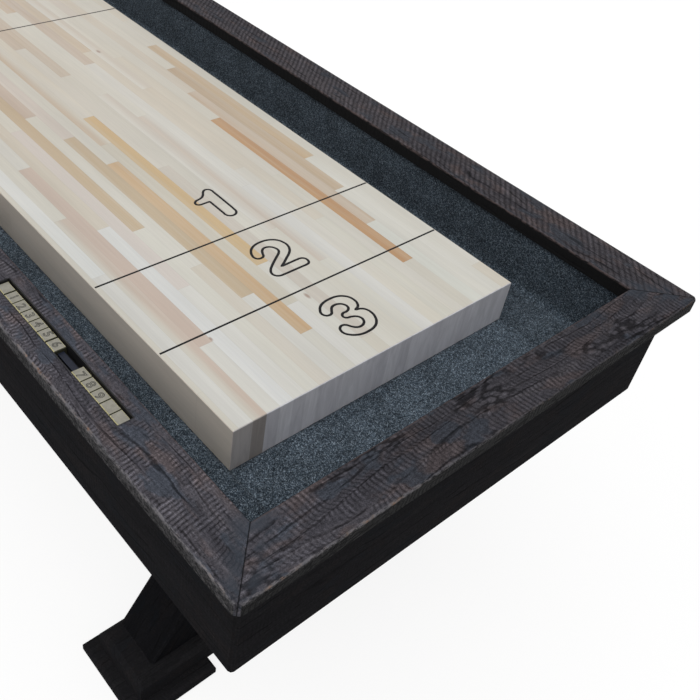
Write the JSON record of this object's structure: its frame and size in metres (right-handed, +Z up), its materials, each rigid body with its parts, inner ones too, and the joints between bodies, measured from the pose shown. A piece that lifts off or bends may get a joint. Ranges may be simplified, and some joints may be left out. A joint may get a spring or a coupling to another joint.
{
  "type": "shuffleboard table",
  "caption": "Long shuffleboard table: butcher-block playfield in a carpeted gutter, rough-sawn cap rail with sliding abacus scorers, two crossed-leg trestles.",
  "frame": {"origin": "on the floor under the centre of the table", "axes": "+X along the table to its front end, +Y to the right of a player at the front end, +Z up"},
  "size_m": [3.658, 0.81, 0.8],
  "materials": {
    "maple": "clear coated butcher block",
    "charcoal_wood": "rough sawn, weathered charcoal stain",
    "frame_wood": "planed softwood, unfinished",
    "carpet": "short looped pile",
    "black_plastic": "moulded, matt",
    "tile_plastic": "moulded, satin",
    "steel": "zinc plated",
    "black_steel": "black powder coat"
  },
  "bodies": {
    "table": {"playfield": "maple", "cap_left": "charcoal_wood", "cap_right": "charcoal_wood", "cap_front": "charcoal_wood", "cap_rear": "charcoal_wood", "panel_left": "charcoal_wood", "panel_right": "charcoal_wood", "panel_front": "charcoal_wood", "panel_rear": "charcoal_wood", "corner_blocks": "frame_wood", "end_cleats": "frame_wood", "cross_bearers": "frame_wood", "gutter_boards_side": "frame_wood", "gutter_boards_end": "frame_wood", "carpet_sides": "carpet", "carpet_ends": "carpet", "scorer_trays": "black_plastic", "scorer_guides": "steel", "cross_leg_left_front": "charcoal_wood", "cross_leg_left_rear": "charcoal_wood", "cross_leg_right_front": "charcoal_wood", "cross_leg_right_rear": "charcoal_wood", "foot_beam_front": "charcoal_wood", "foot_beam_rear": "charcoal_wood", "head_beam_front": "charcoal_wood", "head_beam_rear": "charcoal_wood", "foot_pads": "charcoal_wood", "leg_bolts": "steel", "adjuster_brackets": "black_steel"},
    "left_tile_start": {"left_tile_start": "tile_plastic"},
    "left_tile_1": {"left_tile_1": "tile_plastic"},
    "left_tile_2": {"left_tile_2": "tile_plastic"},
    "left_tile_3": {"left_tile_3": "tile_plastic"},
    "left_tile_4": {"left_tile_4": "tile_plastic"},
    "left_tile_5": {"left_tile_5": "tile_plastic"},
    "left_tile_6": {"left_tile_6": "tile_plastic"},
    "left_tile_end_2": {"left_tile_end_2": "tile_plastic"},
    "left_tile_7": {"left_tile_7": "tile_plastic"},
    "left_tile_8": {"left_tile_8": "tile_plastic"},
    "left_tile_9": {"left_tile_9": "tile_plastic"},
    "left_tile_end_1": {"left_tile_end_1": "tile_plastic"},
    "right_tile_start": {"right_tile_start": "tile_plastic"},
    "right_tile_1": {"right_tile_1": "tile_plastic"},
    "right_tile_2": {"right_tile_2": "tile_plastic"},
    "right_tile_3": {"right_tile_3": "tile_plastic"},
    "right_tile_4": {"right_tile_4": "tile_plastic"},
    "right_tile_5": {"right_tile_5": "tile_plastic"},
    "right_tile_6": {"right_tile_6": "tile_plastic"},
    "right_tile_end_2": {"right_tile_end_2": "tile_plastic"},
    "right_tile_7": {"right_tile_7": "tile_plastic"},
    "right_tile_8": {"right_tile_8": "tile_plastic"},
    "right_tile_9": {"right_tile_9": "tile_plastic"},
    "right_tile_end_1": {"right_tile_end_1": "tile_plastic"},
    "adjuster_rod_front": {"adjuster_rod_front": "steel"},
    "adjuster_rod_middle": {"adjuster_rod_middle": "steel"},
    "adjuster_rod_rear": {"adjuster_rod_rear": "steel"},
    "leveller_front_left": {"leveller_front_left": "steel"},
    "leveller_front_right": {"leveller_front_right": "steel"},
    "leveller_rear_left": {"leveller_rear_left": "steel"},
    "leveller_rear_right": {"leveller_rear_right": "steel"}
  },
  "joints": [
    {"name": "left_tile_start_slide", "type": "slide", "parent": "table", "child": "left_tile_start", "axis": [1, 0, 0], "range_m": [0, 0.0382]},
    {"name": "left_tile_1_slide", "type": "slide", "parent": "table", "child": "left_tile_1", "axis": [1, 0, 0], "range_m": [0, 0.0382]},
    {"name": "left_tile_2_slide", "type": "slide", "parent": "table", "child": "left_tile_2", "axis": [1, 0, 0], "range_m": [0, 0.0382]},
    {"name": "left_tile_3_slide", "type": "slide", "parent": "table", "child": "left_tile_3", "axis": [1, 0, 0], "range_m": [0, 0.0382]},
    {"name": "left_tile_4_slide", "type": "slide", "parent": "table", "child": "left_tile_4", "axis": [1, 0, 0], "range_m": [0, 0.0382]},
    {"name": "left_tile_5_slide", "type": "slide", "parent": "table", "child": "left_tile_5", "axis": [1, 0, 0], "range_m": [0, 0.0382]},
    {"name": "left_tile_6_slide", "type": "slide", "parent": "table", "child": "left_tile_6", "axis": [1, 0, 0], "range_m": [0, 0.0382]},
    {"name": "left_tile_end_2_slide", "type": "slide", "parent": "table", "child": "left_tile_end_2", "axis": [1, 0, 0], "range_m": [-0.0382, 0]},
    {"name": "left_tile_7_slide", "type": "slide", "parent": "table", "child": "left_tile_7", "axis": [1, 0, 0], "range_m": [-0.0382, 0]},
    {"name": "left_tile_8_slide", "type": "slide", "parent": "table", "child": "left_tile_8", "axis": [1, 0, 0], "range_m": [-0.0382, 0]},
    {"name": "left_tile_9_slide", "type": "slide", "parent": "table", "child": "left_tile_9", "axis": [1, 0, 0], "range_m": [-0.0382, 0]},
    {"name": "left_tile_end_1_slide", "type": "slide", "parent": "table", "child": "left_tile_end_1", "axis": [1, 0, 0], "range_m": [-0.0382, 0]},
    {"name": "right_tile_start_slide", "type": "slide", "parent": "table", "child": "right_tile_start", "axis": [-1, 0, 0], "range_m": [0, 0.0382]},
    {"name": "right_tile_1_slide", "type": "slide", "parent": "table", "child": "right_tile_1", "axis": [-1, 0, 0], "range_m": [0, 0.0382]},
    {"name": "right_tile_2_slide", "type": "slide", "parent": "table", "child": "right_tile_2", "axis": [-1, 0, 0], "range_m": [0, 0.0382]},
    {"name": "right_tile_3_slide", "type": "slide", "parent": "table", "child": "right_tile_3", "axis": [-1, 0, 0], "range_m": [0, 0.0382]},
    {"name": "right_tile_4_slide", "type": "slide", "parent": "table", "child": "right_tile_4", "axis": [-1, 0, 0], "range_m": [0, 0.0382]},
    {"name": "right_tile_5_slide", "type": "slide", "parent": "table", "child": "right_tile_5", "axis": [-1, 0, 0], "range_m": [0, 0.0382]},
    {"name": "right_tile_6_slide", "type": "slide", "parent": "table", "child": "right_tile_6", "axis": [-1, 0, 0], "range_m": [0, 0.0382]},
    {"name": "right_tile_end_2_slide", "type": "slide", "parent": "table", "child": "right_tile_end_2", "axis": [-1, 0, 0], "range_m": [-0.0382, 0]},
    {"name": "right_tile_7_slide", "type": "slide", "parent": "table", "child": "right_tile_7", "axis": [-1, 0, 0], "range_m": [-0.0382, 0]},
    {"name": "right_tile_8_slide", "type": "slide", "parent": "table", "child": "right_tile_8", "axis": [-1, 0, 0], "range_m": [-0.0382, 0]},
    {"name": "right_tile_9_slide", "type": "slide", "parent": "table", "child": "right_tile_9", "axis": [-1, 0, 0], "range_m": [-0.0382, 0]},
    {"name": "right_tile_end_1_slide", "type": "slide", "parent": "table", "child": "right_tile_end_1", "axis": [-1, 0, 0], "range_m": [-0.0382, 0]},
    {"name": "adjuster_rod_front_turn", "type": "hinge", "parent": "table", "child": "adjuster_rod_front", "pos_m": [1.08533, 0, 0.656], "axis": [0, 1, 0], "range_deg": [-180, 180]},
    {"name": "adjuster_rod_middle_turn", "type": "hinge", "parent": "table", "child": "adjuster_rod_middle", "pos_m": [0, 0, 0.656], "axis": [0, 1, 0], "range_deg": [-180, 180]},
    {"name": "adjuster_rod_rear_turn", "type": "hinge", "parent": "table", "child": "adjuster_rod_rear", "pos_m": [-1.08533, 0, 0.656], "axis": [0, 1, 0], "range_deg": [-180, 180]},
    {"name": "leveller_front_left_extend", "type": "slide", "parent": "table", "child": "leveller_front_left", "axis": [0, 0, -1], "range_m": [0, 0.015]},
    {"name": "leveller_front_right_extend", "type": "slide", "parent": "table", "child": "leveller_front_right", "axis": [0, 0, -1], "range_m": [0, 0.015]},
    {"name": "leveller_rear_left_extend", "type": "slide", "parent": "table", "child": "leveller_rear_left", "axis": [0, 0, -1], "range_m": [0, 0.015]},
    {"name": "leveller_rear_right_extend", "type": "slide", "parent": "table", "child": "leveller_rear_right", "axis": [0, 0, -1], "range_m": [0, 0.015]}
  ],
  "couplings": [
    {"joint": "left_tile_1_slide", "follows": "left_tile_start_slide", "ratio": 1},
    {"joint": "left_tile_2_slide", "follows": "left_tile_start_slide", "ratio": 1},
    {"joint": "left_tile_3_slide", "follows": "left_tile_start_slide", "ratio": 1},
    {"joint": "left_tile_4_slide", "follows": "left_tile_start_slide", "ratio": 1},
    {"joint": "left_tile_5_slide", "follows": "left_tile_start_slide", "ratio": 1},
    {"joint": "left_tile_6_slide", "follows": "left_tile_start_slide", "ratio": 1},
    {"joint": "left_tile_7_slide", "follows": "left_tile_end_2_slide", "ratio": 1},
    {"joint": "left_tile_8_slide", "follows": "left_tile_end_2_slide", "ratio": 1},
    {"joint": "left_tile_9_slide", "follows": "left_tile_end_2_slide", "ratio": 1},
    {"joint": "left_tile_end_1_slide", "follows": "left_tile_end_2_slide", "ratio": 1},
    {"joint": "right_tile_1_slide", "follows": "right_tile_start_slide", "ratio": 1},
    {"joint": "right_tile_2_slide", "follows": "right_tile_start_slide", "ratio": 1},
    {"joint": "right_tile_3_slide", "follows": "right_tile_start_slide", "ratio": 1},
    {"joint": "right_tile_4_slide", "follows": "right_tile_start_slide", "ratio": 1},
    {"joint": "right_tile_5_slide", "follows": "right_tile_start_slide", "ratio": 1},
    {"joint": "right_tile_6_slide", "follows": "right_tile_start_slide", "ratio": 1},
    {"joint": "right_tile_7_slide", "follows": "right_tile_end_2_slide", "ratio": 1},
    {"joint": "right_tile_8_slide", "follows": "right_tile_end_2_slide", "ratio": 1},
    {"joint": "right_tile_9_slide", "follows": "right_tile_end_2_slide", "ratio": 1},
    {"joint": "right_tile_end_1_slide", "follows": "right_tile_end_2_slide", "ratio": 1}
  ]
}
